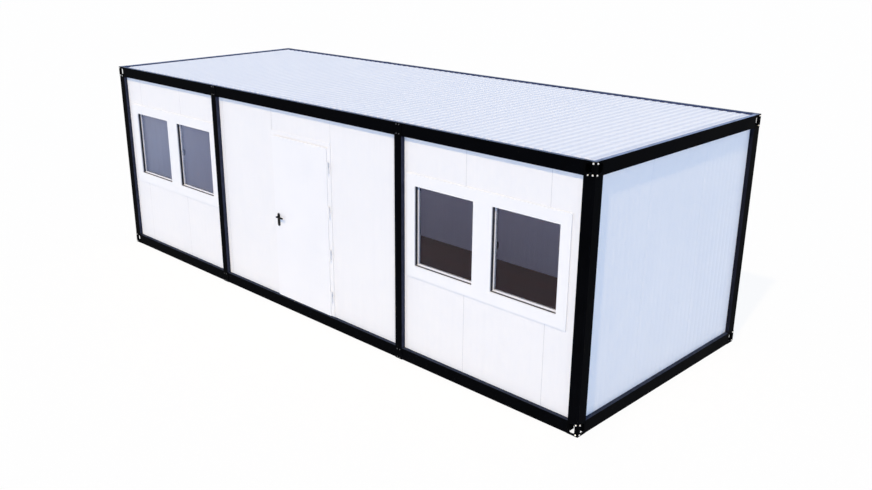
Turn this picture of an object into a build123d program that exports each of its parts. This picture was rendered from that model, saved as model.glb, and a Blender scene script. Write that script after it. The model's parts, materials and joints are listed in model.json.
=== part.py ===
"""Portable site cabin: a bolted steel frame with insulated wall panels, two window pairs and a door."""

import os
from math import atan2, degrees

from build123d import *

# Overall size; +X along the front, +Y into the cabin, +Z up, origin at the middle of the underside
length = 8000
width = 3000
height = 2600
overrun = 10

# Folded steel frame
steel = 4
bend_radius = 5
rail_height = 135
roof_lip = 30

# Corner castings with oblong slots for shackles and hooks
casting_size = 125
casting_plate = 8
slot_length = 92
slot_width = 64
slot_corner = 14
slot_inset = 71
foot_rim = 26

# Corner posts and intermediate posts
corner_post_face = 120
corner_post_setback = 1
post_width = 100
post_inset = 2355

# Insulated wall panels, set back from the face of the frame
wall_recess = 45
wall_thickness = 60
panel_module = 1000
panel_joint = 0.6
panel_chamfer = 3

# Floor and roof
deck_thickness = 18
joist_width = 50
joist_pitch = 600
rib_pitch = 100
rib_height = 15
rib_crest_share = 0.38
rib_slope_share = 0.12
rib_border = 80
sheet_thickness = 1.5
sheet_drop = 5
sheet_edge_gap = 4
deck_bearing = 20

# Window pairs, one surround board to each pair
window_width = 785
window_height = 855
window_drop = 490
window_pitch = 1020
window_pair_inset = 1245
surround_side = 115
surround_above = 125
surround_below = 132
surround_thickness = 14
frame_setback = 28
frame_bar = 17
frame_chamfer = 3
glass_thickness = 20
glass_setback = 5
window_handle_width = 15
window_handle_length = 110
window_handle_depth = 26
window_handle_grip = 9
window_handle_rise = 400

# Door
door_opening = 956
jamb_face = 52
head_face = 65
head_drop = 265
frame_proud = 6
leaf_side_lap = 12
leaf_head_lap = 13
leaf_bottom_gap = 8
leaf_lap_thickness = 20
leaf_thickness = 45
leaf_gap = 5
leaf_side_gap = 7
leaf_edge_radius = 3

# Lift-off hinges on the right edge of the door
hinge_length = 130
hinge_radius = 10
hinge_pin_radius = 5
hinge_clearance = 0.3
hinge_offset = 22
hinge_stand_off = 4
hinge_foot_inset = 247
hinge_head_inset = 219
hinge_count = 4
hinge_strap = 10

# Lever handles on long plates, one each side of the leaf
handle_inset = 62
handle_height = 1165
plate_width = 42
plate_length = 160
plate_drop = 38
plate_thickness = 8
lever_radius = 9
lever_reach = 46
lever_length = 118
grip_depth = 13
grip_chamfer = 2.5
lever_clearance = 0.3
spindle_side = 8
spindle_hole = 12

# Levels and planes that follow from the sizes above
flange = casting_size
wall_bottom = rail_height
wall_top = height - rail_height
front_face = -width / 2
wall_out = front_face + wall_recess
wall_in = wall_out + wall_thickness
end_out = length / 2 - wall_recess
end_in = end_out - wall_thickness
deck_top = wall_bottom + deck_thickness
sheet_crest = height - sheet_drop
sheet_base = sheet_crest - rib_height - sheet_thickness
window_top = wall_top - window_drop
window_sill = window_top - window_height
window_pair_offset = length / 2 - window_pair_inset
post_offset = length / 2 - post_inset
joists_beside_middle = int((length / 2 - casting_size - joist_width) / joist_pitch)
door_face = wall_out - frame_proud
leaf_lap_back = door_face - leaf_gap
leaf_front = leaf_lap_back - leaf_lap_thickness
leaf_back = leaf_front + leaf_thickness
door_element = door_opening + 2 * jamb_face
door_head_top = wall_top - head_drop
door_opening_top = door_head_top - head_face
leaf_width = door_opening + 2 * leaf_side_lap
leaf_bottom = wall_bottom + leaf_bottom_gap
leaf_top = door_opening_top + leaf_head_lap
leaf_inner_half = door_opening / 2 - leaf_side_gap
hinge_x = leaf_width / 2 + hinge_offset
hinge_y = leaf_front - hinge_stand_off
handle_x = -leaf_width / 2 + handle_inset

# The four corners as signs of X and Y
corners = {"front_left": (-1, -1), "front_right": (1, -1), "back_left": (-1, 1), "back_right": (1, 1)}
sides = {"left": -1, "right": 1}

os.makedirs("parts", exist_ok=True)


def save(piece, name):
    piece.part.label = name
    export_step(piece.part, f"parts/{name}.step")


def add_block(low, high, mode=Mode.ADD):
    """A box between two corners, added to or cut from the part being built."""
    with BuildSketch(Plane.XY.offset(low[2])) as outline:
        with Locations(((low[0] + high[0]) / 2, (low[1] + high[1]) / 2)):
            Rectangle(high[0] - low[0], high[1] - low[1])
    extrude(outline.sketch, amount=high[2] - low[2], mode=mode)


def at_corner(signs, u, v):
    """A point u along X and v along Y inward from a corner of the frame."""
    return (signs[0] * (length / 2 - u), signs[1] * (width / 2 - v))


def add_corner_block(signs, low, high, mode=Mode.ADD):
    """A box given by its inward distances from a corner."""
    first = at_corner(signs, low[0], low[1])
    second = at_corner(signs, high[0], high[1])
    xs = sorted((first[0], second[0]))
    ys = sorted((first[1], second[1]))
    add_block((xs[0], ys[0], low[2]), (xs[1], ys[1], high[2]), mode)


def add_casting_slot(signs, middle_z):
    """The upright oblong slots in the two outer faces of a corner casting."""
    front = Plane(
        origin=(*at_corner(signs, slot_inset, 0), middle_z), x_dir=(0, 0, 1), z_dir=(0, signs[1], 0)
    )
    end = Plane(
        origin=(*at_corner(signs, 0, slot_inset), middle_z), x_dir=(0, 0, 1), z_dir=(signs[0], 0, 0)
    )
    for face in (front, end):
        with BuildSketch(face) as slot:
            Rectangle(slot_length, slot_width)
            chamfer(slot.vertices(), length=slot_corner)
        extrude(slot.sketch, amount=-casting_plate, mode=Mode.SUBTRACT)


# Lower castings: an angled foot, a seat for the post and two slotted outer faces, open towards the rails
for name, signs in corners.items():
    with BuildPart() as lower_casting:
        add_corner_block(signs, (0, 0, 0), (casting_size, casting_size, rail_height))
        add_corner_block(
            signs,
            (casting_plate, casting_plate, casting_plate),
            (casting_size + overrun, casting_size + overrun, rail_height - casting_plate),
            Mode.SUBTRACT,
        )
        add_corner_block(
            signs,
            (foot_rim, foot_rim, 0),
            (casting_size + overrun, casting_size + overrun, casting_plate),
            Mode.SUBTRACT,
        )
        add_casting_slot(signs, rail_height / 2)
    save(lower_casting, f"lower_casting_{name}")

# Upper castings: boxes with the same slots, closed up to the roof sheet that runs in under their lip
for name, signs in corners.items():
    with BuildPart() as upper_casting:
        add_corner_block(signs, (0, 0, wall_top), (casting_size, casting_size, height))
        add_corner_block(
            signs,
            (casting_plate, casting_plate, wall_top + casting_plate),
            (casting_size - casting_plate, casting_size - casting_plate, sheet_base),
            Mode.SUBTRACT,
        )
        add_corner_block(
            signs,
            (casting_plate, casting_plate, sheet_base),
            (casting_size + overrun, casting_size + overrun, height - steel),
            Mode.SUBTRACT,
        )
        add_corner_block(
            signs,
            (roof_lip, roof_lip, height - steel),
            (casting_size + overrun, casting_size + overrun, height),
            Mode.SUBTRACT,
        )
        add_casting_slot(signs, height - rail_height / 2)
    save(upper_casting, f"upper_casting_{name}")


def rail_section(top_reach, bottom_reach):
    """Outline of a folded rail: outer web, top flange and bottom flange."""
    with BuildLine() as outline:
        Polyline(
            (0, 0),
            (bottom_reach, 0),
            (bottom_reach, steel),
            (steel, steel),
            (steel, rail_height - steel),
            (top_reach, rail_height - steel),
            (top_reach, rail_height),
            (0, rail_height),
            close=True,
        )
    make_face(outline.edges())


# Rails between the castings, as outward direction and run
rail_runs = {
    "front": ((0, -1, 0), width / 2, length - 2 * casting_size),
    "back": ((0, 1, 0), width / 2, length - 2 * casting_size),
    "left": ((-1, 0, 0), length / 2, width - 2 * casting_size),
    "right": ((1, 0, 0), length / 2, width - 2 * casting_size),
}
rail_levels = {"floor": (0, flange, flange), "roof": (wall_top, roof_lip, flange)}
for level, (base, top_reach, bottom_reach) in rail_levels.items():
    for side, (outward, distance, run) in rail_runs.items():
        outward = Vector(*outward)
        inward = outward * -1
        start = outward * distance + Vector(0, 0, base)
        with BuildPart() as rail:
            with BuildSketch(Plane(origin=start, x_dir=inward, z_dir=inward.cross(Vector(0, 0, 1)))) as section:
                rail_section(top_reach, bottom_reach)
                columns = section.vertices().group_by(Axis.X)
                fillet(columns[0], radius=bend_radius)
                fillet(columns[1], radius=bend_radius - steel)
            extrude(amount=run / 2, both=True)
        save(rail, f"{level}_{side}_rail")

# Corner posts: one plate folded at the corner, with two returns that close on the wall panels
post_edge = corner_post_setback
outer_bend = (
    (corner_post_face, wall_recess),
    (corner_post_face, post_edge),
    (post_edge, post_edge),
    (post_edge, corner_post_face),
    (wall_recess, corner_post_face),
)
inner_bend = (
    (wall_recess, corner_post_face - steel),
    (post_edge + steel, corner_post_face - steel),
    (post_edge + steel, post_edge + steel),
    (corner_post_face - steel, post_edge + steel),
    (corner_post_face - steel, wall_recess),
)
for name, signs in corners.items():
    with BuildPart() as corner_post:
        with BuildSketch(Plane.XY.offset(wall_bottom)) as fold:
            with BuildLine():
                Polyline(*[at_corner(signs, *point) for point in outer_bend + inner_bend], close=True)
            make_face()
            outside, inside = fold.vertices().sort_by_distance(at_corner(signs, 0, 0))[:2]
            fillet(outside, radius=bend_radius)
            fillet(inside, radius=bend_radius - steel)
        extrude(amount=wall_top - wall_bottom)
    save(corner_post, f"corner_post_{name}")

# Intermediate posts: channels over the wall, with a face plate that laps both rails
for name, sign in {"front": -1, "back": 1}.items():
    with BuildPart() as posts:
        for side in sides.values():
            left = side * post_offset - post_width / 2
            right = side * post_offset + post_width / 2
            face = sign * width / 2
            plate = sorted((face, face + sign * steel))
            web = sorted((face, face - sign * wall_recess))
            add_block((left, plate[0], 0), (right, plate[1], height))
            add_block((left, web[0], wall_bottom), (left + steel, web[1], wall_top))
            add_block((right - steel, web[0], wall_bottom), (right, web[1], wall_top))
    save(posts, f"{name}_posts")

# Floor: channel joists between the floor rails, their webs let into the rails, and the deck over them
with BuildPart() as floor_joists:
    tip_y = width / 2 - flange
    seat_y = width / 2 - steel
    for index in range(-joists_beside_middle, joists_beside_middle + 1):
        low_x = index * joist_pitch - joist_width / 2
        web_x = low_x + steel
        high_x = low_x + joist_width
        add_block((low_x, -tip_y, 0), (web_x, tip_y, rail_height))
        add_block((low_x, -seat_y, steel), (web_x, seat_y, rail_height - steel))
        for base in (0, rail_height - steel):
            add_block((low_x, -tip_y, base), (high_x, tip_y, base + steel))
save(floor_joists, "floor_joists")

with BuildPart() as floor_deck:
    add_block((-end_in, wall_in, wall_bottom), (end_in, -wall_in, deck_top))
save(floor_deck, "floor_deck")

# Roof: an insulated ceiling panel on the rails' flanges, and the ribbed sheet over it
with BuildPart() as ceiling_panel:
    ceiling_x = length / 2 - flange + deck_bearing
    ceiling_y = width / 2 - flange + deck_bearing
    corner = casting_size
    add_block((-ceiling_x, -ceiling_y, wall_top + steel), (ceiling_x, ceiling_y, sheet_base))
    for signs in corners.values():
        add_corner_block(
            signs, (0, 0, wall_top), (corner, corner, sheet_base), Mode.SUBTRACT
        )
save(ceiling_panel, "ceiling_panel")

# Pressed ribs across the cabin, which die out before the sheet's flat border
sheet_x = length / 2 - casting_plate - sheet_edge_gap
sheet_y = width / 2 - casting_plate - sheet_edge_gap
rib_count = 2 * int((sheet_x - rib_border) / rib_pitch)
rib_length = 2 * (sheet_y - rib_border)
rib_slope = rib_pitch * rib_slope_share
rib_foot = rib_pitch * rib_crest_share + 2 * rib_slope
rib_lean = degrees(atan2(rib_slope, rib_height))
sheet_top = sheet_base + sheet_thickness
with BuildPart() as roof_sheet:
    add_block((-sheet_x, -sheet_y, sheet_base), (sheet_x, sheet_y, sheet_top))
    for level, mode in ((sheet_top, Mode.ADD), (sheet_base, Mode.SUBTRACT)):
        with BuildSketch(Plane.XY.offset(level)) as feet:
            with GridLocations(rib_pitch, rib_length, rib_count, 1):
                Rectangle(rib_foot, rib_length)
        extrude(feet.sketch, amount=rib_height, taper=rib_lean, mode=mode)
save(roof_sheet, "roof_sheet")


def window_middles(side):
    """X of the two windows of a pair, left one first."""
    middle = side * window_pair_offset
    return (middle - window_pitch / 2, middle + window_pitch / 2)


def add_windows(side, near_y, far_y, margin, mode):
    """A block for each window of a pair, smaller than the wall's opening by a margin all round."""
    half = window_width / 2 - margin
    for middle in window_middles(side):
        low = (middle - half, near_y, window_sill + margin)
        high = (middle + half, far_y, window_top - margin)
        add_block(low, high, mode)


def panel_edges(first, last, origin):
    """Edges of the panels between two places, with joints at whole modules from an origin."""
    steps = int((last - first) / panel_module) + 2
    base = origin + panel_module * int((first - origin) / panel_module)
    joints = [base + panel_module * step for step in range(-1, steps + 1)]
    return [first] + [joint for joint in joints if first < joint < last] + [last]


def panel_spans(first, last, origin):
    """Low and high edge of each panel, a joint gap apart."""
    edges = panel_edges(first, last, origin)
    spans = []
    for low, high in zip(edges, edges[1:]):
        spans.append((low + panel_joint / 2 * (low > first), high - panel_joint / 2 * (high < last)))
    return spans


# Front wall on each side of the door, cut for a window pair; chamfers leave a groove at each panel joint
for name, side in sides.items():
    first, last = sorted((side * end_out, side * door_element / 2))
    with BuildPart() as front_wall:
        for low, high in panel_spans(first, last, side * door_element / 2):
            add_block((low, wall_out, wall_bottom), (high, wall_in, wall_top))
        chamfer(front_wall.edges().filter_by(Axis.Z), length=panel_chamfer)
        add_windows(side, wall_out - overrun, wall_in + overrun, 0, Mode.SUBTRACT)
    save(front_wall, f"front_wall_{name}")

with BuildPart() as front_wall_over_door:
    half = door_element / 2
    add_block((-half, wall_out, door_head_top), (half, wall_in, wall_top))
    chamfer(front_wall_over_door.edges().filter_by(Axis.Z), length=panel_chamfer)
save(front_wall_over_door, "front_wall_over_door")

# Back wall and end walls
with BuildPart() as back_wall:
    for low, high in panel_spans(-end_out, end_out, panel_module / 2):
        add_block((low, -wall_in, wall_bottom), (high, -wall_out, wall_top))
    chamfer(back_wall.edges().filter_by(Axis.Z), length=panel_chamfer)
save(back_wall, "back_wall")

for name, side in sides.items():
    low_x, high_x = sorted((side * end_in, side * end_out))
    with BuildPart() as end_wall:
        for low, high in panel_spans(wall_in, -wall_in, panel_module / 2):
            add_block((low_x, low, wall_bottom), (high_x, high, wall_top))
        chamfer(end_wall.edges().filter_by(Axis.Z), length=panel_chamfer)
    save(end_wall, f"{name}_wall")

# Window surround boards, flat on the wall
for name, side in sides.items():
    middle = side * window_pair_offset
    half = (window_pitch + window_width) / 2 + surround_side
    low_z = window_sill - surround_below
    high_z = window_top + surround_above
    with BuildPart() as surround:
        add_block((middle - half, wall_out - surround_thickness, low_z), (middle + half, wall_out, high_z))
        add_windows(side, wall_out - surround_thickness - overrun, wall_out, 0, Mode.SUBTRACT)
    save(surround, f"window_surround_{name}")

# Window frames set back in the wall's openings, with a bevel towards the glass on the outside
frame_front = wall_out + frame_setback
glass_front = frame_front + glass_setback
for name, side in sides.items():
    with BuildPart() as window_frames:
        for middle in window_middles(side):
            half = window_width / 2
            low = (middle - half, frame_front, window_sill)
            add_block(low, (middle + half, wall_in, window_top))
        add_windows(side, frame_front - overrun, wall_in + overrun, frame_bar, Mode.SUBTRACT)
        mouths = window_frames.faces().filter_by(Axis.Y).sort_by(Axis.Y)[:2]
        for mouth in mouths:
            chamfer(mouth.inner_wires()[0].edges(), length=frame_chamfer)
    save(window_frames, f"window_frames_{name}")

with BuildPart() as window_glass:
    for side in sides.values():
        add_windows(side, glass_front, glass_front + glass_thickness, frame_bar, Mode.ADD)
save(window_glass, "window_glass")

# Bow handle on the inside of the right window of each pair
with BuildPart() as window_handles:
    tall = window_handle_length
    reach = window_handle_depth
    grip = window_handle_grip
    for side in sides.values():
        bar_middle = window_middles(side)[1] - window_width / 2 + frame_bar / 2
        foot = (bar_middle - window_handle_width / 2, wall_in, window_sill + window_handle_rise)
        with BuildSketch(Plane(origin=foot, x_dir=(0, 1, 0), z_dir=(1, 0, 0))):
            with BuildLine():
                ThreePointArc((0, 0), (reach, tall / 2), (0, tall))
                Line((0, tall), (0, tall - grip))
                ThreePointArc((0, tall - grip), (reach - grip, tall / 2), (0, grip))
                Line((0, grip), (0, 0))
            make_face()
        extrude(amount=window_handle_width)
save(window_handles, "window_handles")

# Door frame: two jambs, a head over them and a threshold level with the deck
with BuildPart() as door_jambs:
    for side in sides.values():
        low_x, high_x = sorted((side * door_opening / 2, side * door_element / 2))
        add_block((low_x, door_face, wall_bottom), (high_x, wall_in, door_opening_top))
save(door_jambs, "door_jambs")

with BuildPart() as door_head:
    half = door_element / 2
    add_block((-half, door_face, door_opening_top), (half, wall_in, door_head_top))
save(door_head, "door_head")

with BuildPart() as door_threshold:
    half = door_opening / 2
    add_block((-half, door_face, wall_bottom), (half, wall_in, deck_top))
save(door_threshold, "door_threshold")

# Door leaf: a lapped outer slab and a thicker core inside the frame
with BuildPart() as door_leaf:
    half = leaf_width / 2
    add_block((-half, leaf_front, leaf_bottom), (half, leaf_lap_back, leaf_top))
    fillet(door_leaf.faces().sort_by(Axis.Y)[0].edges(), radius=leaf_edge_radius)
    add_block(
        (-leaf_inner_half, leaf_lap_back, deck_top + leaf_gap),
        (leaf_inner_half, leaf_back, door_opening_top - leaf_side_gap),
    )
    with BuildSketch(Plane.XZ.offset(-leaf_front)):
        with Locations((handle_x, handle_height)):
            Circle(spindle_hole)
    extrude(amount=-leaf_thickness, mode=Mode.SUBTRACT)
save(door_leaf, "door_leaf")

# Hinges: the lower knuckle and its pin on the jamb, the upper knuckle on the leaf
half_hinge = hinge_length / 2
lowest_hinge = leaf_bottom + hinge_foot_inset
hinge_pitch = (leaf_top - hinge_head_inset - lowest_hinge) / (hinge_count - 1)
hinge_bottoms = [lowest_hinge + index * hinge_pitch - half_hinge for index in range(hinge_count)]
with BuildPart() as hinge_frame_halves:
    for bottom in hinge_bottoms:
        with BuildSketch(Plane.XY.offset(bottom)):
            with Locations((hinge_x, hinge_y)):
                Circle(hinge_radius)
        extrude(amount=half_hinge)
        with BuildSketch(Plane.XY.offset(bottom + half_hinge)):
            with Locations((hinge_x, hinge_y)):
                Circle(hinge_pin_radius)
        extrude(amount=half_hinge)
        low = (hinge_x - hinge_strap / 2, hinge_y, bottom)
        add_block(low, (hinge_x + hinge_strap / 2, door_face, bottom + half_hinge))
save(hinge_frame_halves, "hinge_frame_halves")

with BuildPart() as hinge_leaf_halves:
    for bottom in hinge_bottoms:
        seat = bottom + half_hinge + hinge_clearance
        top = bottom + hinge_length
        add_block((leaf_width / 2, hinge_y, seat), (hinge_x, hinge_y + hinge_strap, top))
        with BuildSketch(Plane.XY.offset(seat)):
            with Locations((hinge_x, hinge_y)):
                Circle(hinge_radius)
        extrude(amount=top - seat)
        with BuildSketch(Plane.XY.offset(seat)):
            with Locations((hinge_x, hinge_y)):
                Circle(hinge_pin_radius + hinge_clearance)
        extrude(amount=top - seat, mode=Mode.SUBTRACT)
save(hinge_leaf_halves, "hinge_leaf_halves")

# Handle plates, one each side of the leaf
plate_middle = handle_height - plate_drop
with BuildPart() as handle_plates:
    for face, outward in ((leaf_front, -1), (leaf_back, 1)):
        with BuildSketch(Plane(origin=(handle_x, face, plate_middle), x_dir=(0, 0, 1), z_dir=(0, outward, 0))):
            SlotOverall(plate_length, plate_width)
            with Locations((plate_drop, 0)):
                Circle(lever_radius + lever_clearance, mode=Mode.SUBTRACT)
        extrude(amount=plate_thickness)
save(handle_plates, "handle_plates")

# Levers: a round neck out of the plate and a flat grip towards the hinges; the outer one carries the spindle
for name, face, outward in (("outside", leaf_front, -1), ("inside", leaf_back, 1)):
    seat = Plane(origin=(handle_x, face, handle_height), x_dir=(1, 0, 0), z_dir=(0, outward, 0))
    with BuildPart() as lever:
        with BuildSketch(seat):
            Circle(lever_radius)
        extrude(amount=lever_reach)
        with BuildSketch(seat.offset(lever_reach - grip_depth)):
            with Locations(((lever_length - lever_radius) / 2, 0)):
                SlotOverall(lever_length + lever_radius, 2 * lever_radius)
        extrude(amount=grip_depth)
        chamfer(lever.faces().sort_by(Axis.Y)[-1 if outward > 0 else 0].edges(), length=grip_chamfer)
        if name == "outside":
            half = spindle_side / 2
            low = (handle_x - half, leaf_front, handle_height - half)
            add_block(low, (handle_x + half, leaf_back, handle_height + half))
    save(lever, f"lever_{name}")
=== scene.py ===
import json
import math
import bmesh
import bpy
from mathutils import Matrix, Vector


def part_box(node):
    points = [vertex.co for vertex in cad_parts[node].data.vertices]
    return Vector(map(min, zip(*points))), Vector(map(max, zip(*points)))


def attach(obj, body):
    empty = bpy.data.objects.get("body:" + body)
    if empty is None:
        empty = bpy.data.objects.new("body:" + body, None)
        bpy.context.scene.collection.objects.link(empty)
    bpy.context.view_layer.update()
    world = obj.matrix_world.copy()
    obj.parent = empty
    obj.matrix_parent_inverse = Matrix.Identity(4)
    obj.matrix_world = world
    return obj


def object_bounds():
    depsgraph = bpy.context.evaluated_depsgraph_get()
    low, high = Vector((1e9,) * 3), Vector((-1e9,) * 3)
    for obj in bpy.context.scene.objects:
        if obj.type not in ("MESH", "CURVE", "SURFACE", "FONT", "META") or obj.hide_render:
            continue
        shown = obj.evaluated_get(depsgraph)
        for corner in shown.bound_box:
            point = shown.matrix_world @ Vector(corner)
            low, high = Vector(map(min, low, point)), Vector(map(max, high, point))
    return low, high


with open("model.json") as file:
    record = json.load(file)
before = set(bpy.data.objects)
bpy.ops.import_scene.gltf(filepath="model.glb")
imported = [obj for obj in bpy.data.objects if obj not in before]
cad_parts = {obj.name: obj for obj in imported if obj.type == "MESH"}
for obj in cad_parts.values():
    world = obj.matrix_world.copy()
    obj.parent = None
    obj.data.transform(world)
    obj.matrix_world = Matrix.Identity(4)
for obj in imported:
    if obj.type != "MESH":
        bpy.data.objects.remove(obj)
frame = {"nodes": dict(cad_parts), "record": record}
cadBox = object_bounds()
scene = bpy.context.scene
scene.view_settings.view_transform = "Standard"
# outer faces of the steel frame, measured from the origin
halfLength, halfWidth, roofTop = cadBox[1].x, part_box("roof_back_rail")[1].y, cadBox[1].z
print("frame:", len(frame["nodes"]), "nodes")


# camera of the photo, solved from the edges of the steel frame
photoCamera = {
    "place": (8.1654, -7.8173, 4.4110),
    "azimuth": 45.214,
    "elevation": 19.410,
    "roll": 0.041,
    "lens": 37.913,
    "sensor": 36.0,
    "shift": (0.0311, 0.0097),
    "clipEnd": 500.0,
}


def setCamera(c):
    data = bpy.data.cameras.new("photoCamera")
    data.lens = c["lens"]
    data.sensor_width = c["sensor"]
    data.shift_x, data.shift_y = c["shift"]
    data.clip_end = c["clipEnd"]
    camera = bpy.data.objects.new("photoCamera", data)
    turn = Matrix.Rotation(math.radians(c["azimuth"]), 4, "Z")
    tip = Matrix.Rotation(math.radians(90.0 - c["elevation"]), 4, "X")
    roll = Matrix.Rotation(math.radians(-c["roll"]), 4, "Z")
    camera.matrix_world = Matrix.Translation(c["place"]) @ turn @ tip @ roll
    scene.collection.objects.link(camera)
    scene.camera = camera


setCamera(photoCamera)
print("camera set")


# node helpers: sockets given as links or as plain values
def addNode(tree, kind, inputs=None, **settings):
    node = tree.nodes.new("ShaderNode" + kind)
    for name, value in settings.items():
        setattr(node, name, value)
    for name, value in (inputs or {}).items():
        if isinstance(value, bpy.types.NodeSocket):
            tree.links.new(value, node.inputs[name])
        else:
            node.inputs[name].default_value = value
    return node


def calc(tree, operation, a, b=0.0):
    node = addNode(tree, "Math", {0: a, 1: b}, operation=operation)
    return node.outputs[0]


def spread(tree, value, low, high, toLow=0.0, toHigh=1.0):
    node = addNode(tree, "MapRange", {0: value, 1: low, 2: high, 3: toLow, 4: toHigh})
    return node.outputs[0]


def rgba(color):
    return (color[0], color[1], color[2], 1.0)


def blendColor(tree, factor, a, b):
    node = addNode(tree, "Mix", {0: factor, 6: a, 7: b}, data_type="RGBA")
    return node.outputs[2]


# lays a second colour over the first, by a share of the mask
def layOver(tree, color, mask, share, over):
    return blendColor(tree, calc(tree, "MULTIPLY", mask, share), color, rgba(over))


def axesOf(tree, vector):
    return addNode(tree, "SeparateXYZ", {0: vector}).outputs


def coordsOf(tree):
    return addNode(tree, "TexCoord").outputs


def objectPlace(tree, stretch=(1.0, 1.0, 1.0)):
    mapping = addNode(tree, "Mapping", {"Vector": coordsOf(tree)["Object"], "Scale": stretch})
    return mapping.outputs[0]


def noiseAt(tree, place, scale, detail, **more):
    return addNode(tree, "TexNoise", {"Vector": place, "Scale": scale, "Detail": detail, **more}).outputs[0]


def newMaterial(name):
    material = bpy.data.materials.new(name)
    material.use_nodes = True
    tree = material.node_tree
    tree.nodes.clear()
    out = addNode(tree, "OutputMaterial")
    shader = addNode(tree, "BsdfPrincipled")
    tree.links.new(shader.outputs[0], out.inputs["Surface"])
    return material, tree, shader, out


# colour, gloss and fine relief that every solid finish has
def setFinish(tree, shader, c, color, tone, relief):
    tree.links.new(color, shader.inputs["Base Color"])
    tree.links.new(spread(tree, tone, 0.0, 1.0, *c["roughness"]), shader.inputs["Roughness"])
    shader.inputs["Specular IOR Level"].default_value = c["specular"]
    strength, distance = c["bump"]
    bump = addNode(tree, "Bump", {"Strength": strength, "Distance": distance, "Height": relief})
    tree.links.new(bump.outputs[0], shader.inputs["Normal"])


def newGroup(name, inputs, outputs):
    tree = bpy.data.node_groups.new(name, "ShaderNodeTree")
    for socket, value in inputs.items():
        made = tree.interface.new_socket(socket, in_out="INPUT", socket_type="NodeSocketFloat")
        made.default_value = value
    for socket in outputs:
        tree.interface.new_socket(socket, in_out="OUTPUT", socket_type="NodeSocketFloat")
    start = tree.nodes.new("NodeGroupInput").outputs
    end = tree.nodes.new("NodeGroupOutput").inputs
    return tree, start, end


def useGroup(tree, group, inputs=None):
    node = tree.nodes.new("ShaderNodeGroup")
    node.node_tree = group
    for name, value in (inputs or {}).items():
        node.inputs[name].default_value = value
    return node.outputs


# mesh helpers
smoothAngle = math.radians(35.0)
touch = 1e-6  # points nearer than this lie in one plane


def toMesh(name, bm):
    mesh = bpy.data.meshes.new(name)
    bm.to_mesh(mesh)
    bm.free()
    return mesh


def addPiece(name, bm, material, body="cabin"):
    bmesh.ops.recalc_face_normals(bm, faces=bm.faces)
    mesh = toMesh(name, bm)
    mesh.materials.append(material)
    mesh.shade_smooth()
    mesh.set_sharp_from_angle(angle=smoothAngle)
    piece = bpy.data.objects.new(name, mesh)
    scene.collection.objects.link(piece)
    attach(piece, body)


def facing(place, normal):
    turn = Vector(normal).to_track_quat("Z", "Y").to_matrix().to_4x4()
    return Matrix.Translation(place) @ turn


def addBlock(bm, low, high):
    size = Vector(high) - Vector(low)
    place = Matrix.Translation((Vector(low) + Vector(high)) / 2) @ Matrix.Diagonal(size).to_4x4()
    return bmesh.ops.create_cube(bm, size=1.0, matrix=place)["verts"]


def addCopy(bm, mesh, place):
    before = len(bm.verts)
    bm.from_mesh(mesh)
    bm.verts.ensure_lookup_table()
    bmesh.ops.transform(bm, matrix=place, verts=bm.verts[before:])


def roundEdges(bm, edges, offset, segments):
    bmesh.ops.bevel(bm, geom=edges, offset=offset, affect="EDGES", segments=segments,
                    profile=0.5, material=-1)


# upright prism or cylinder with a rounded upper rim
def addStub(bm, foot, height, radius, roundOff, sides, roundSegments):
    middle = Matrix.Translation((0.0, 0.0, foot + height / 2))
    bmesh.ops.create_cone(bm, cap_ends=True, segments=sides, radius1=radius, radius2=radius,
                          depth=height, matrix=middle)
    rim = [e for e in bm.edges if all(v.co.z > foot + height - touch for v in e.verts)]
    roundEdges(bm, rim, roundOff, roundSegments)


# rays that show the background itself: to the eye, off gloss and through glass
def showsBackground(tree):
    path = addNode(tree, "LightPath").outputs
    eyeOrGloss = calc(tree, "MAXIMUM", path["Is Camera Ray"], path["Is Glossy Ray"])
    return calc(tree, "MAXIMUM", eyeOrGloss, path["Is Transmission Ray"])


plainWhite = (1.0, 1.0, 1.0, 1.0)


def addLamp(name, kind, c):
    lamp = bpy.data.lights.new(name, kind)
    lamp.energy = c["strength"]
    lamp.color = c["color"]
    light = bpy.data.objects.new(name, lamp)
    scene.collection.objects.link(light)
    return lamp, light


sunLamp = {"from": (0.148, -0.645, 0.750), "strength": 2.04, "color": (1.0, 0.731, 0.362), "angle": 1.7}


def setSun(c):
    lamp, sun = addLamp("sun", "SUN", c)
    lamp.angle = math.radians(c["angle"])
    sun.rotation_euler = Vector(c["from"]).to_track_quat("Z", "Y").to_euler()


# soft glow under the ceiling, so that the room shows through the windows
roomLamp = {"strength": 12.8, "color": (0.66, 0.63, 1.0), "ceilingShares": (0.9, 0.8), "drop": 0.03}


def setRoomLamp(c):
    lamp, room = addLamp("roomGlow", "AREA", c)
    low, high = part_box("ceiling_panel")
    lamp.shape = "RECTANGLE"
    lamp.size = (high.x - low.x) * c["ceilingShares"][0]
    lamp.size_y = (high.y - low.y) * c["ceilingShares"][1]
    room.location = (0.0, 0.0, low.z - c["drop"])
    room.visible_camera = room.visible_glossy = room.visible_transmission = False


studioSky = {"low": (0.650, 0.849, 1.211), "high": (0.330, 0.474, 0.700)}


def setSky(c):
    world = bpy.data.worlds.new("studio")
    world.use_nodes = True
    tree = world.node_tree
    tree.nodes.clear()
    height = axesOf(tree, coordsOf(tree)["Generated"])[2]
    tone = blendColor(tree, spread(tree, height, 0.0, 1.0), rgba(c["low"]), rgba(c["high"]))
    sky = addNode(tree, "Background", {"Color": tone})
    white = addNode(tree, "Background", {"Color": plainWhite})
    mix = addNode(tree, "MixShader", {0: showsBackground(tree), 1: sky.outputs[0], 2: white.outputs[0]})
    addNode(tree, "OutputWorld", {"Surface": mix.outputs[0]})
    scene.world = world


studioFloor = {
    "size": 300.0, "drop": 0.002, "roughness": 0.9,
    "color": (0.84, 0.88, 0.945), "shown": (1.0, 0.97, 0.91), "whiteShare": 0.9,
}


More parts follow.
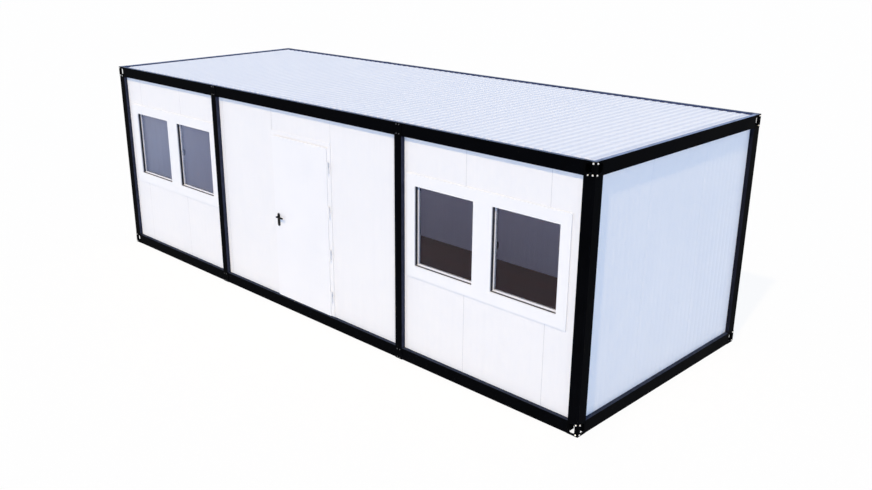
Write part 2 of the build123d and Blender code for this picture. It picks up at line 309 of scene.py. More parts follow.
def setFloor(c):
    material, tree, shader, out = newMaterial("studioFloor")
    shown = showsBackground(tree)
    tree.links.new(blendColor(tree, shown, rgba(c["color"]), rgba(c["shown"])), shader.inputs["Base Color"])
    shader.inputs["Roughness"].default_value = c["roughness"]
    shader.inputs["Specular IOR Level"].default_value = 0.0
    white = addNode(tree, "Emission", {"Color": plainWhite})
    share = calc(tree, "MULTIPLY", shown, c["whiteShare"])
    mix = addNode(tree, "MixShader", {0: share, 1: shader.outputs[0], 2: white.outputs[0]})
    tree.links.new(mix.outputs[0], out.inputs["Surface"])
    bm = bmesh.new()
    bmesh.ops.create_grid(bm, x_segments=1, y_segments=1, size=c["size"] / 2)
    bmesh.ops.translate(bm, vec=(0.0, 0.0, -c["drop"]), verts=bm.verts)
    mesh = toMesh("studioFloor", bm)
    mesh.materials.append(material)
    floor = bpy.data.objects.new("studioFloor", mesh)
    scene.collection.objects.link(floor)


setSun(sunLamp)
setRoomLamp(roomLamp)
setSky(studioSky)
setFloor(studioFloor)
print("light and floor set")


# fine skin of sprayed, rolled or moulded surfaces, and its slow change of tone
skinLook = {"peelDetail": 2.0, "toneDetail": 4.0, "toneRange": (0.3, 0.7)}


def makePaintSkin(c):
    tree, start, end = newGroup("paintSkin", {"Peel Scale": 400.0, "Tone Scale": 2.0}, ("Peel", "Tone"))
    place = objectPlace(tree)
    tree.links.new(noiseAt(tree, place, start["Peel Scale"], c["peelDetail"]), end["Peel"])
    tone = noiseAt(tree, place, start["Tone Scale"], c["toneDetail"])
    tree.links.new(spread(tree, tone, *c["toneRange"]), end["Tone"])
    return tree


# dirt that rain has drawn down an upright face, and splash and dust low on the wall
rainLook = {
    "stretch": (1.0, 1.0, 0.035), "detail": 5.0, "roughness": 0.6, "runRange": (0.5, 0.78),
    "patchScale": 0.9, "patchDetail": 3.0, "patchRange": (0.35, 0.65),
    "splashHeights": (0.14, 0.55), "splashRange": (0.2, 0.8),
}


def makeRainRuns(c):
    tree, start, end = newGroup("rainRuns", {"Runs": 12.0}, ("Runs", "Grime"))
    drawn = objectPlace(tree, c["stretch"])
    runs = noiseAt(tree, drawn, start["Runs"], c["detail"], Roughness=c["roughness"])
    patches = noiseAt(tree, objectPlace(tree), c["patchScale"], c["patchDetail"])
    mask = spread(tree, runs, *c["runRange"])
    tree.links.new(calc(tree, "MULTIPLY", mask, spread(tree, patches, *c["patchRange"])), end["Runs"])
    height = axesOf(tree, objectPlace(tree))[2]
    splash = spread(tree, height, *c["splashHeights"], 1.0, 0.0)
    tree.links.new(calc(tree, "MULTIPLY", splash, spread(tree, runs, *c["splashRange"])), end["Grime"])
    return tree


# masks for the black paint: dust with painted sky light on up-facing ledges and lips, and painted sky light
# on side faces that stand back from the frame's outer faces
dustAndSkyLook = {
    "speckScale": 9.0, "speckDetail": 6.0, "speckRange": (0.25, 0.75), "thinnest": 0.55,
    "ledgeSlope": (0.6, 0.95),
    "lipDrops": (0.10, 0.05), "endDepths": (0.10, 0.05), "sideShare": 0.5,
    "filmDepths": (0.04, 0.09), "filmShares": (1.0, 0.35), "railDepths": (0.15, 0.13),
}


def makeDustAndSkyLight(c):
    inputs = {"Half Length": halfLength, "Half Width": halfWidth}
    tree, start, end = newGroup("dustAndSkyLight", inputs, ("Ledge", "Lip", "SideSkyLight"))
    coords = coordsOf(tree)
    place, normal = axesOf(tree, coords["Object"]), axesOf(tree, coords["Normal"])
    speck = noiseAt(tree, coords["Object"], c["speckScale"], c["speckDetail"])
    patchy = spread(tree, speck, *c["speckRange"], c["thinnest"], 1.0)
    ledge = calc(tree, "MULTIPLY", spread(tree, normal[2], *c["ledgeSlope"]), patchy)
    tree.links.new(ledge, end["Ledge"])
    # the painted sky reflection and dust on the top lips are stronger at the two ends
    ends = [halfLength - depth for depth in c["endDepths"]]
    lips = [roofTop - drop for drop in c["lipDrops"]]
    atEnd = spread(tree, calc(tree, "ABSOLUTE", place[0]), *ends, c["sideShare"], 1.0)
    top = calc(tree, "MULTIPLY", spread(tree, place[2], *lips), atEnd)
    tree.links.new(calc(tree, "MULTIPLY", ledge, top), end["Lip"])
    # painted sky light on side faces, by how far a face lies in from the outer face that looks the same way
    films = []
    for axis, half in enumerate(inputs):
        inward = calc(tree, "SUBTRACT", start[half], calc(tree, "ABSOLUTE", place[axis]))
        depth = calc(tree, "MULTIPLY", inward, calc(tree, "ABSOLUTE", normal[axis]))
        films.append(spread(tree, depth, *c["filmDepths"], 0.0, c["filmShares"][axis]))
    # none of it on the floor and roof rails
    rails = [roofTop / 2 - depth for depth in c["railDepths"]]
    fromMiddle = calc(tree, "ABSOLUTE", calc(tree, "SUBTRACT", place[2], roofTop / 2))
    between = spread(tree, fromMiddle, *rails, 1.0, 0.0)
    film = calc(tree, "MULTIPLY", calc(tree, "ADD", *films), between)
    tree.links.new(calc(tree, "MULTIPLY", film, patchy), end["SideSkyLight"])
    return tree


paintSkin = makePaintSkin(skinLook)
rainRuns = makeRainRuns(rainLook)
dustAndSkyLight = makeDustAndSkyLight(dustAndSkyLook)


# light coats: panels, boards, door, ceiling, roof and hinges
panelCoat = {
    "color": (0.855, 0.858, 0.872), "tint": (0.835, 0.842, 0.862), "toneScale": 1.6,
    "dirt": (0.66, 0.68, 0.71), "runs": 14.0, "runShare": 0.08, "grimeShare": 0.05,
    "roughness": (0.40, 0.50), "specular": 0.35, "peelScale": 320.0, "bump": (0.6, 0.00003),
}
surroundCoat = dict(panelCoat, color=(0.875, 0.88, 0.895), tint=(0.85, 0.86, 0.88), runShare=0.06,
                    grimeShare=0.0)
doorCoat = dict(panelCoat, color=(0.87, 0.875, 0.895), tint=(0.84, 0.85, 0.875), runs=18.0, runShare=0.04,
                grimeShare=0.04)
ceilingCoat = dict(panelCoat, color=(0.80, 0.81, 0.825), runShare=0.0, grimeShare=0.0)
# the roof's bluish rib-side and border colours are painted shade
roofCoat = dict(panelCoat, color=(0.866, 0.887, 0.94), tint=(0.846, 0.867, 0.92), runShare=0.0,
                grimeShare=0.0, roughness=(0.45, 0.6), ribShade=(0.72, 0.75, 0.82), ribShadeShare=0.7,
                ribShadeSlope=(0.2, 0.6), border=(0.15, 0.12), borderShade=(0.70, 0.74, 0.84), borderShadeShare=0.6)
hingeCoat = dict(panelCoat, color=(0.82, 0.83, 0.85), runShare=0.04, grimeShare=0.0, peelScale=900.0)


# painted shade on the rib slopes that face the right end, and painted shade along the flat border by the
# rails
def shadeRoof(tree, color, c):
    across = axesOf(tree, coordsOf(tree)["Normal"])[0]
    color = layOver(tree, color, spread(tree, across, *c["ribShadeSlope"]), c["ribShadeShare"], c["ribShade"])
    place = axesOf(tree, objectPlace(tree))
    clean, dirty = c["border"]
    edges = []
    for axis, half in enumerate((halfLength, halfWidth)):
        edges.append(spread(tree, calc(tree, "ABSOLUTE", place[axis]), half - clean, half - dirty))
    return layOver(tree, color, calc(tree, "MAXIMUM", *edges), c["borderShadeShare"], c["borderShade"])


def makeCoat(name, c):
    material, tree, shader, out = newMaterial(name)
    skin = useGroup(tree, paintSkin, {"Peel Scale": c["peelScale"], "Tone Scale": c["toneScale"]})
    rain = useGroup(tree, rainRuns, {"Runs": c["runs"]})
    color = blendColor(tree, skin["Tone"], rgba(c["color"]), rgba(c["tint"]))
    color = layOver(tree, color, rain["Runs"], c["runShare"], c["dirt"])
    color = layOver(tree, color, rain["Grime"], c["grimeShare"], c["dirt"])
    # painted shade on one side of the ribs and along the border
    if "ribShade" in c:
        color = shadeRoof(tree, color, c)
    setFinish(tree, shader, c, color, skin["Tone"], skin["Peel"])
    return material


# dark coats: the steel frame, castings and joists, and the seal round the roof sheet
# the ledge colour is dust with painted sky light, the lip colour is painted sky reflection with dust, and
# the set-back side faces get painted sky light
framePaint = {
    "color": (0.0010, 0.0012, 0.0018), "worn": (0.0018, 0.0021, 0.0030), "toneScale": 3.0,
    "ledge": (0.042, 0.052, 0.085), "ledgeShare": 0.9, "lip": (0.36, 0.45, 0.66), "lipShare": 0.9,
    "sideSkyLight": (0.045, 0.051, 0.085), "sideSkyLightShare": 0.85, "paintedBounce": (0.34, 0.38, 0.47),
    "roughness": (0.42, 0.55), "specular": 0.006, "peelScale": 300.0, "bump": (0.7, 0.00008),
}
castingPaint = dict(framePaint, color=(0.0010, 0.0011, 0.0014), worn=(0.0018, 0.002, 0.0025),
                    ledgeShare=0.3, lipShare=0.5, sideSkyLightShare=0.0, roughness=(0.5, 0.65),
                    peelScale=190.0, bump=(0.7, 0.0003))
joistPrimer = dict(framePaint, color=(0.035, 0.035, 0.038), worn=(0.055, 0.052, 0.05), sideSkyLightShare=0.0,
                   roughness=(0.6, 0.75), specular=0.2, paintedBounce=(0.035, 0.035, 0.038))
# the seal's dark blue is painted shade, and its lip colour is painted sky reflection
shadedEdgeSeal = dict(framePaint, color=(0.030, 0.042, 0.105), worn=(0.040, 0.052, 0.125), lip=(0.40, 0.49, 0.68),
                sideSkyLightShare=0.0, roughness=(0.6, 0.75))


def makeDarkCoat(name, c):
    material, tree, shader, out = newMaterial(name)
    skin = useGroup(tree, paintSkin, {"Peel Scale": c["peelScale"], "Tone Scale": c["toneScale"]})
    dustAndSky = useGroup(tree, dustAndSkyLight)
    color = blendColor(tree, skin["Tone"], rgba(c["color"]), rgba(c["worn"]))
    # painted sky light on set-back side faces, dust with painted sky light on ledges, and painted sky
    # reflection with dust on the top lips
    color = layOver(tree, color, dustAndSky["SideSkyLight"], c["sideSkyLightShare"], c["sideSkyLight"])
    color = layOver(tree, color, dustAndSky["Ledge"], c["ledgeShare"], c["ledge"])
    color = layOver(tree, color, dustAndSky["Lip"], c["lipShare"], c["lip"])
    # painted bounce light: the black steel is pale to diffuse rays, so the panels beside it are lit by it
    # and show little shade
    bounceRay = addNode(tree, "LightPath").outputs["Is Diffuse Ray"]
    color = blendColor(tree, bounceRay, color, rgba(c["paintedBounce"]))
    setFinish(tree, shader, c, color, skin["Tone"], skin["Peel"])
    return material


# floor covering printed and pressed as boards that run along the cabin
plankFloor = {
    "board": (1.2, 0.19), "stagger": 0.37, "seam": 0.003, "seamSoftness": 0.2, "seamDepth": 2.0,
    "dark": (0.068, 0.024, 0.019), "light": (0.17, 0.068, 0.052), "seamColor": (0.03, 0.014, 0.012),
    "grainStretch": (1.5, 28.0, 1.0), "grainScale": 2.2, "grainDetail": 7.0, "grainBend": 0.6,
    "fibreStretch": (6.0, 260.0, 1.0), "fibreScale": 1.0, "fibreDetail": 3.0,
    "grainShift": 7.0, "grainShare": 0.7, "fibreShare": 0.3,
    "figureRange": (0.35, 0.65), "figureShare": 0.7, "boardShare": 0.3,
    "roughness": (0.35, 0.55), "specular": 0.15, "bump": (0.5, 0.0006),
}


def makePlankFloor(c):
    material, tree, shader, out = newMaterial("plankFloor")
    length, width = c["board"]
    boards = addNode(tree, "TexBrick", {
        "Vector": objectPlace(tree), "Color1": (0.0, 0.0, 0.0, 1.0), "Color2": plainWhite,
        "Mortar": (0.5, 0.5, 0.5, 1.0), "Scale": 1.0, "Mortar Size": c["seam"],
        "Mortar Smooth": c["seamSoftness"], "Brick Width": length, "Row Height": width,
    }, offset=c["stagger"], offset_frequency=2).outputs
    # each board has its own stretch of grain
    shift = calc(tree, "MULTIPLY", boards["Color"], c["grainShift"])
    spot = addNode(tree, "VectorMath", {0: objectPlace(tree, c["grainStretch"]), 1: shift}, operation="ADD")
    grain = noiseAt(tree, spot.outputs[0], c["grainScale"], c["grainDetail"], Distortion=c["grainBend"])
    fibre = noiseAt(tree, objectPlace(tree, c["fibreStretch"]), c["fibreScale"], c["fibreDetail"])
    figure = calc(tree, "ADD", calc(tree, "MULTIPLY", grain, c["grainShare"]),
                  calc(tree, "MULTIPLY", fibre, c["fibreShare"]))
    tone = calc(tree, "ADD", spread(tree, figure, *c["figureRange"], 0.0, c["figureShare"]),
                calc(tree, "MULTIPLY", boards["Color"], c["boardShare"]))
    color = blendColor(tree, tone, rgba(c["dark"]), rgba(c["light"]))
    color = blendColor(tree, boards["Fac"], color, rgba(c["seamColor"]))
    height = calc(tree, "SUBTRACT", tone, calc(tree, "MULTIPLY", boards["Fac"], c["seamDepth"]))
    setFinish(tree, shader, c, color, tone, height)
    return material


# moulded pieces: window profiles, handles, seals and sealant
windowPlastic = {
    "color": (0.85, 0.865, 0.93), "shade": (0.81, 0.83, 0.90), "toneScale": 6.0,
    "roughness": (0.18, 0.3), "specular": 0.5, "peelScale": 700.0, "bump": (0.5, 0.00005),
}
handleBlack = dict(windowPlastic, color=(0.0022, 0.0022, 0.0028), shade=(0.005, 0.005, 0.006),
                   roughness=(0.35, 0.5), specular=0.1, peelScale=1500.0, bump=(0.5, 0.0002))
sealRubber = dict(handleBlack, color=(0.036, 0.037, 0.047), shade=(0.050, 0.051, 0.064),
                  roughness=(0.6, 0.8), specular=0.06, peelScale=900.0)
# one sealant in two colours: darker for painted shade in the long walls' grooves, paler for painted
# sunlight in the end walls' grooves
shadedJointSealant = dict(sealRubber, color=(0.56, 0.57, 0.60), shade=(0.50, 0.51, 0.55), specular=0.2)
litEndSealant = dict(shadedJointSealant, color=(0.80, 0.81, 0.84), shade=(0.76, 0.775, 0.81))


def makeMoulded(name, c):
    material, tree, shader, out = newMaterial(name)
    skin = useGroup(tree, paintSkin, {"Peel Scale": c["peelScale"], "Tone Scale": c["toneScale"]})
    color = blendColor(tree, skin["Tone"], rgba(c["color"]), rgba(c["shade"]))
    setFinish(tree, shader, c, color, skin["Tone"], skin["Peel"])
    return material


# bare metal: the drawn sill, the zinc on bolts, dull lock and post bolts
sillMetal = {
    "color": (0.52, 0.53, 0.55), "shade": (0.40, 0.41, 0.43), "roughness": (0.28, 0.45), "specular": 0.5,
    "grain": (2.0, 260.0, 260.0), "grainDetail": 3.0, "toneRange": (0.3, 0.7), "bump": (0.4, 0.0002),
}
boltZinc = dict(sillMetal, color=(0.95, 0.95, 0.96), shade=(0.84, 0.85, 0.87), roughness=(0.25, 0.45),
                grain=(350.0, 350.0, 350.0))
dullZinc = dict(boltZinc, color=(0.20, 0.21, 0.23), shade=(0.11, 0.115, 0.125), roughness=(0.4, 0.6))


def makeMetal(name, c):
    material, tree, shader, out = newMaterial(name)
    grain = noiseAt(tree, objectPlace(tree, c["grain"]), 1.0, c["grainDetail"])
    tone = spread(tree, grain, *c["toneRange"])
    shader.inputs["Metallic"].default_value = 1.0
    color = blendColor(tree, tone, rgba(c["color"]), rgba(c["shade"]))
    setFinish(tree, shader, c, color, tone, grain)
    return material


# clear panes: lamps and soft light pass, the eye sees the glass
paneGlass = {
    "color": (0.93, 0.94, 0.97), "ior": 1.18, "roughness": (0.0, 0.025), "passed": (0.98, 0.985, 1.0),
    "smear": (3.0, 3.0, 1.2), "smearScale": 1.5, "smearDetail": 4.0, "smearRange": (0.45, 0.7),
    "film": (0.52, 0.64, 1.0), "filmShare": 0.12, "filmFrom": (0.32, 0.48),
}


def makePaneGlass(c):
    material, tree, shader, out = newMaterial("paneGlass")
    shader.inputs["Base Color"].default_value = rgba(c["color"])
    shader.inputs["Transmission Weight"].default_value = 1.0
    shader.inputs["IOR"].default_value = c["ior"]
    smear = noiseAt(tree, objectPlace(tree, c["smear"]), c["smearScale"], c["smearDetail"])
    tree.links.new(spread(tree, smear, *c["smearRange"], *c["roughness"]), shader.inputs["Roughness"])
    # blue diffuse film on the outside, seen where the pane is viewed at a slant: partly dust, partly a
    # painted sky reflection
    slant = spread(tree, addNode(tree, "LayerWeight", {"Blend": 0.5}).outputs["Facing"], *c["filmFrom"])
    outside = calc(tree, "SUBTRACT", 1.0, addNode(tree, "NewGeometry").outputs["Backfacing"])
    share = calc(tree, "MULTIPLY", calc(tree, "MULTIPLY", slant, outside), c["filmShare"])
    film = addNode(tree, "BsdfDiffuse", {"Color": rgba(c["film"])})
    pane = addNode(tree, "MixShader", {0: share, 1: shader.outputs[0], 2: film.outputs[0]})
    path = addNode(tree, "LightPath").outputs
    clear = addNode(tree, "BsdfTransparent", {"Color": rgba(c["passed"])}).outputs[0]
    lamps = addNode(tree, "MixShader", {0: path["Is Shadow Ray"], 1: pane.outputs[0], 2: clear})
    soft = addNode(tree, "MixShader", {0: path["Is Diffuse Ray"], 1: lamps.outputs[0], 2: clear})
    tree.links.new(soft.outputs[0], out.inputs["Surface"])
    return material


# one finish for each slot of the record
finishes = {
    "frame_paint": makeDarkCoat("framePaint", framePaint),
    "casting_paint": makeDarkCoat("castingPaint", castingPaint),
    "joist_steel": makeDarkCoat("joistPrimer", joistPrimer),
    "floor_board": makePlankFloor(plankFloor),
    "ceiling_board": makeCoat("ceilingCoat", ceilingCoat),
    "roof_sheet": makeCoat("roofCoat", roofCoat),
    "wall_panel": makeCoat("panelCoat", panelCoat),
    "window_trim": makeCoat("surroundCoat", surroundCoat),
    "window_plastic": makeMoulded("windowPlastic", windowPlastic),
    "glass": makePaneGlass(paneGlass),
    "handle_black": makeMoulded("handleBlack", handleBlack),
    "door_paint": makeCoat("doorCoat", doorCoat),
    "threshold_metal": makeMetal("sillMetal", sillMetal),
    "hinge_metal": makeCoat("hingeCoat", hingeCoat),
}
for part in frame["record"]["subparts"]:
    for spot in frame["nodes"][part["node"]].material_slots:
        spot.material = finishes[part["material_slot"]]


# hexagon bolts on flat washers
zinc = makeMetal("boltZinc", boltZinc)
dullMetal = makeMetal("dullZinc", dullZinc)
cornerBolt = {
    "washer": 0.0092, "washerTaper": 0.96, "washerHeight": 0.002, "head": 0.0075, "headHeight": 0.0055,
    "round": 0.0009,
}
postBolt = dict(cornerBolt, washer=0.0068, head=0.0055, headHeight=0.004)
boltPlaces = {
    "edge": 0.025, "nearRim": 0.018, "nearMiddle": 0.119, "third": (0.075, 0.124),
    "postHalf": 0.019, "railRows": (0.018, 0.112),
}
postWidth = 0.100  # of one intermediate post


def makeBolt(c):
    bm = bmesh.new()
    middle = Matrix.Translation((0.0, 0.0, c["washerHeight"] / 2))
    bmesh.ops.create_cone(bm, cap_ends=True, segments=20, radius1=c["washer"],
                          radius2=c["washer"] * c["washerTaper"], depth=c["washerHeight"], matrix=middle)
    addStub(bm, c["washerHeight"], c["headHeight"], c["head"], c["round"], sides=6, roundSegments=2)
    return toMesh("bolt", bm)


def boltCorners(c):
    large, small = makeBolt(cornerBolt), makeBolt(postBolt)
    bm = bmesh.new()
    for node in frame["nodes"]:
        if "casting" not in node:
            continue
        low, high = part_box(node)
        right = 1.0 if node.endswith("right") else -1.0
        back = 1.0 if "_back_" in node else -1.0
        x = high.x if right > 0 else low.x
        y = high.y if back > 0 else low.y
        upper = node.startswith("upper")
        for step in (c["nearRim"], c["nearMiddle"]):
            z = high.z - step if upper else low.z + step
            addCopy(bm, large, facing((x - right * c["edge"], y, z), (0.0, back, 0.0)))
            addCopy(bm, large, facing((x, y - back * c["edge"], z), (right, 0.0, 0.0)))
        if upper:
            across, down = c["third"]
            addCopy(bm, small, facing((x - right * across, y, high.z - down), (0.0, back, 0.0)))
    bpy.data.meshes.remove(large)
    bpy.data.meshes.remove(small)
    addPiece("cornerBolts", bm, zinc)


# middles of the two posts in a node that holds a pair
def postMiddles(node):
    low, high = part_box(node)
    return low.x + postWidth / 2, high.x - postWidth / 2


def boltPosts(c):
    small = makeBolt(postBolt)
    bm = bmesh.new()
    floorFoot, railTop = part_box("floor_front_rail")[0].z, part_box("roof_front_rail")[1].z
    rows = [floorFoot + step for step in c["railRows"]] + [railTop - step for step in c["railRows"]]
    for node, back in (("front_posts", -1.0), ("back_posts", 1.0)):
        low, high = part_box(node)
        y = low.y if back < 0 else high.y
        for middle in postMiddles(node):
            for z in rows:
                for offset in (-c["postHalf"], c["postHalf"]):
                    addCopy(bm, small, facing((middle + offset, y, z), (0.0, back, 0.0)))
    bpy.data.meshes.remove(small)
    addPiece("postBolts", bm, dullMetal)


boltCorners(boltPlaces)
boltPosts(boltPlaces)
print("bolts on")


# black lining of each window reveal, the bead on its sill, and the dark seals round the glass
rubber = makeMoulded("sealRubber", sealRubber)
windowSeals = {
    "width": 0.785, "lining": 0.0035, "liningStart": 0.012, "beadDepth": 0.014, "beadHeight": 0.003,
    "bar": 0.017, "seal": 0.005, "sealDepth": 0.006, "outerSeal": 0.0025, "outerDepth": 0.002,
}


def addRing(bm, low, high, wall, near, far):
    middle = Vector(((low.x + high.x) / 2, near, (low.z + high.z) / 2))
    size = Vector((high.x - low.x, high.z - low.z, 1.0))
    place = facing(middle, (0.0, -1.0, 0.0)) @ Matrix.Diagonal(size).to_4x4()
    made = bmesh.ops.create_grid(bm, x_segments=1, y_segments=1, size=0.5, matrix=place)
    sheet = made["verts"][0].link_faces[0]
    rim = bmesh.ops.inset_region(bm, faces=[sheet], thickness=wall, use_boundary=True,
                                 use_even_offset=True)["faces"]
    bmesh.ops.delete(bm, geom=[sheet], context="FACES_ONLY")
    pulled = bmesh.ops.extrude_face_region(bm, geom=rim)["geom"]
    points = [g for g in pulled if isinstance(g, bmesh.types.BMVert)]
    bmesh.ops.translate(bm, vec=(0.0, far - near, 0.0), verts=points)


# one box for each of the four windows: a node holds a pair
def windowBoxes(c):
    boxes = []
    for side in ("left", "right"):
        low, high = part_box("window_frames_" + side)
        boxes.append((low.copy(), Vector((low.x + c["width"], high.y, high.z))))
        boxes.append((Vector((high.x - c["width"], low.y, low.z)), high.copy()))
    return boxes


def sealWindows(c):
    linings, seals, beads = bmesh.new(), bmesh.new(), bmesh.new()
    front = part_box("window_surround_left")[0].y
    glassFront, glassBack = (corner.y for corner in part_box("window_glass"))
    bar = Vector((c["bar"], 0.0, c["bar"]))
    for low, high in windowBoxes(c):
        addRing(linings, low, high, c["lining"], front + c["liningStart"], low.y)
        addRing(seals, low + bar, high - bar, c["seal"], glassBack, glassBack + c["sealDepth"])
        addRing(seals, low + bar, high - bar, c["outerSeal"], glassFront - c["outerDepth"], glassFront)
        sill = low.z + c["lining"]
        addBlock(beads, (low.x + c["lining"], low.y - c["beadDepth"], sill),
                 (high.x - c["lining"], low.y, sill + c["beadHeight"]))
    addPiece("revealLinings", linings, rubber)
    addPiece("sillBeads", beads, finishes["window_plastic"])
    addPiece("glassSeals", seals, rubber)


sealWindows(windowSeals)
print("windows sealed")


# flat ribs rolled into the panel skins, and the sealant in the joints between panels, painted darker on the
# long walls for shade in the grooves and paler on the end walls for sun on them
shadedSealant = makeMoulded("shadedJointSealant", shadedJointSealant)
litSealant = makeMoulded("litEndSealant", litEndSealant)
wallRibs = {
    "count": 12, "module": 1.0, "share": 0.5, "height": 0.0006, "slope": 0.004, "clear": 0.004,
    "underWindow": 0.06, "panelsEachWay": 9,
}
panelJoints = {"width": 0.0034, "depth": 0.0014, "thickness": 0.001, "atEdge": 0.001}
wallNormals = {"front": (0.0, -1.0), "back": (0.0, 1.0), "left": (-1.0, 0.0), "right": (1.0, 0.0)}
roomNormals = {"back": (0.0, -1.0), "left": (1.0, 0.0), "right": (-1.0, 0.0)}


# upright bar on a wall face, with sloped flanks
def addBar(bm, place, width, bottom, top, near, far, slope=0.0):
    size = Matrix.Diagonal((width, top - bottom, far - near, 1.0))
    middle = Matrix.Translation((0.0, (bottom + top) / 2, (near + far) / 2))
    made = bmesh.ops.create_cube(bm, size=1.0, matrix=middle @ size)["verts"]
    outer = [v for v in made if v.co.z > (near + far) / 2]
    bmesh.ops.scale(bm, vec=(1.0 - 2 * slope / width, 1.0, 1.0), verts=outer)
    bmesh.ops.transform(bm, matrix=place, verts=made)


# what is left of an upright line on a long wall, clear of the posts and, in front, of the windows
def openSpans(side, x, half, bottom, top):
    if any(abs(x - middle) < postWidth / 2 + half for middle in postMiddles("front_posts")):
        return []
    if side == "front":
        for low, high in windowBoxes(windowSeals):
            if low.x - half < x < high.x + half:
                return [(bottom, low.z - wallRibs["underWindow"]), (high.z + wallRibs["underWindow"], top)]
    return [(bottom, top)]


def upright(normal, face, along):
    spot = (along, face, 0.0) if normal[0] == 0.0 else (face, along, 0.0)
    return facing(spot, (normal[0], normal[1], 0.0))


# the outer face of each wall: where it starts and ends, and one of its panel joints
def wallFaces():
    floorTop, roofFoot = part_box("floor_front_rail")[1].z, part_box("roof_front_rail")[0].z
    faces = []
    for node in ("front_wall_left", "front_wall_over_door", "front_wall_right",
                 "back_wall", "left_wall", "right_wall"):
        low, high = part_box(node)
        side = node.split("_")[0]
        outer = low if side in ("front", "left") else high
        if side in ("front", "back"):
            face, first, last = outer.y, low.x, high.x
        else:
            face, first, last = outer.x, low.y, high.y
        joint = wallRibs["module"] / 2
        if side == "front":
            joint = last if node == "front_wall_left" else first
        faces.append((side, face, first, last, joint, max(low.z, floorTop), min(high.z, roofFoot)))
    return faces


def ribOutside(bm, c, side, face, first, last, joint, bottom, top):
    pitch = c["module"] / c["count"]
    width = pitch * c["share"]
    start = joint - c["module"] * c["panelsEachWay"]
    for step in range(2 * c["panelsEachWay"] * c["count"]):
        along = start + pitch * (step + 0.5)
        if not first + c["clear"] < along - width / 2 < along + width / 2 < last - c["clear"]:
            continue
        spans = [(bottom, top)]
        if side in ("front", "back"):
            spans = openSpans(side, along, width / 2 + c["clear"], bottom, top)
        for low, high in spans:
            place = upright(wallNormals[side], face, along)
            addBar(bm, place, width, low + c["clear"], high - c["clear"], 0.0, c["height"], c["slope"])


def ribInside(bm, c, side):
    pitch = c["module"] / c["count"]
    bottom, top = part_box("floor_deck")[1].z + c["clear"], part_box("ceiling_panel")[0].z - c["clear"]
    depth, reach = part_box("back_wall")[0].y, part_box("right_wall")[0].x
    if side != "back":
        depth, reach = reach, depth
    face = -depth * sum(roomNormals[side])
    count = int(2 * reach / pitch)
    for step in range(count):
        place = upright(roomNormals[side], face, (step + 0.5 - count / 2) * pitch)
        addBar(bm, place, pitch * c["share"], bottom, top, 0.0, c["height"], c["slope"])


def fillJoints(bm, c, side, face, first, last, joint, bottom, top):
    start = joint - wallRibs["module"] * wallRibs["panelsEachWay"]
    for step in range(2 * wallRibs["panelsEachWay"]):
        along = start + wallRibs["module"] * step
        if not first - c["atEdge"] < along < last + c["atEdge"]:
            continue
        spans = openSpans(side, along, c["width"], bottom, top) if side == "front" else [(bottom, top)]
        for low, high in spans:
            place = upright(wallNormals[side], face, along)
            addBar(bm, place, c["width"], low, high, -c["depth"] - c["thickness"], -c["depth"])


def dressWalls():
    ribs = {side: bmesh.new() for side in wallNormals}
    longJoints, endJoints = bmesh.new(), bmesh.new()
    for wall in wallFaces():
        side = wall[0]
        ribOutside(ribs[side], wallRibs, *wall)
        fillJoints(longJoints if side in ("front", "back") else endJoints, panelJoints, *wall)
    for side in roomNormals:
        ribInside(ribs[side], wallRibs, side)
    for side, bm in ribs.items():
        addPiece(side + "WallRibs", bm, finishes["wall_panel"])
    addPiece("panelJoints", longJoints, shadedSealant)
    addPiece("endJoints", endJoints, litSealant)


dressWalls()
print("walls dressed")


# lock cylinder in each handle plate
doorLock = {"drop": 0.058, "radius": 0.0085, "proud": 0.0035, "round": 0.0008}


def lockDoor(c):
    low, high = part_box("handle_plates")
    x, z = (low.x + high.x) / 2, high.z - c["drop"] - (high.z - low.z) / 2
    local = bmesh.new()
    addStub(local, 0.0, c["proud"], c["radius"], c["round"], sides=28, roundSegments=3)
    cylinder = toMesh("lock", local)
    bm = bmesh.new()
    for y, normal in ((low.y, -1.0), (high.y, 1.0)):
        addCopy(bm, cylinder, facing((x, y, z), (0.0, normal, 0.0)))
    bpy.data.meshes.remove(cylinder)
    addPiece("lockCylinders", bm, dullMetal, "door")


lockDoor(doorLock)
print("lock fitted")


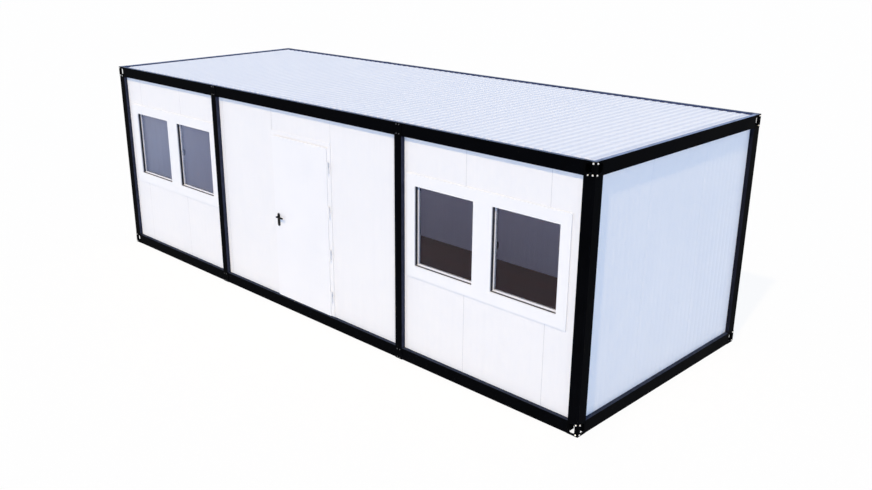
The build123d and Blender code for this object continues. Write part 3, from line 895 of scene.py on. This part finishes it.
# sloped cover strip on the jamb, behind the hinges
doorStrip = {"gap": 0.001, "width": 0.036, "height": 0.0175, "foot": 0.001, "round": 0.0015}


def stripDoor(c):
    low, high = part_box("door_leaf")
    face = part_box("door_jambs")[0].y
    bm = bmesh.new()
    x = high.x + c["gap"]
    for v in addBlock(bm, (x, face - c["height"], low.z), (x + c["width"], face, high.z)):
        if v.co.x > x + c["width"] / 2:
            v.co.y = max(v.co.y, face - c["foot"])
    crest = [e for e in bm.edges if all(v.co.y < face - c["height"] / 2 for v in e.verts)]
    roundEdges(bm, crest, c["round"], segments=3)
    addPiece("doorStrip", bm, finishes["door_paint"])


# seal between the roof sheet and the rails' lips: its dark blue is painted shade under the lips, and its
# top takes the painted sky reflection of the lips
shadedEdgeRubber = makeDarkCoat("shadedEdgeSeal", shadedEdgeSeal)
roofSeal = {"lip": 0.030, "border": 0.020, "front": 0.014, "end": 0.020, "under": 0.002}


def sealRoof(c):
    bm = bmesh.new()
    bottom, top = roofTop - c["border"], roofTop - c["under"]
    endEdge, frontEdge = halfLength - c["lip"], halfWidth - c["lip"]
    frontInner = frontEdge - c["front"]
    for side in (-1.0, 1.0):
        y0, y1 = sorted((side * frontEdge, side * frontInner))
        addBlock(bm, (-endEdge, y0, bottom), (endEdge, y1, top))
        x0, x1 = sorted((side * endEdge, side * (endEdge - c["end"])))
        addBlock(bm, (x0, -frontInner, bottom), (x1, frontInner, top))
    addPiece("roofSeal", bm, shadedEdgeRubber)


# plates that close the ends of the floor rails behind the castings
railEnds = {"steel": 0.004, "back": 0.003}


def closeRails(c):
    bm = bmesh.new()
    for side in wallNormals:
        low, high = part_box("floor_" + side + "_rail")
        along = 0 if side in ("front", "back") else 1
        steel = Vector((c["steel"],) * 3)
        steel[along] = 0.0
        for outer in (low[along] + c["back"], high[along] - c["back"] - c["steel"]):
            first, last = low + steel, high - steel
            first[along], last[along] = outer, outer + c["steel"]
            addBlock(bm, first, last)
    addPiece("railEnds", bm, finishes["frame_paint"])


stripDoor(doorStrip)
sealRoof(roofSeal)
closeRails(railEnds)
print("strip, roof seal and rail ends on")
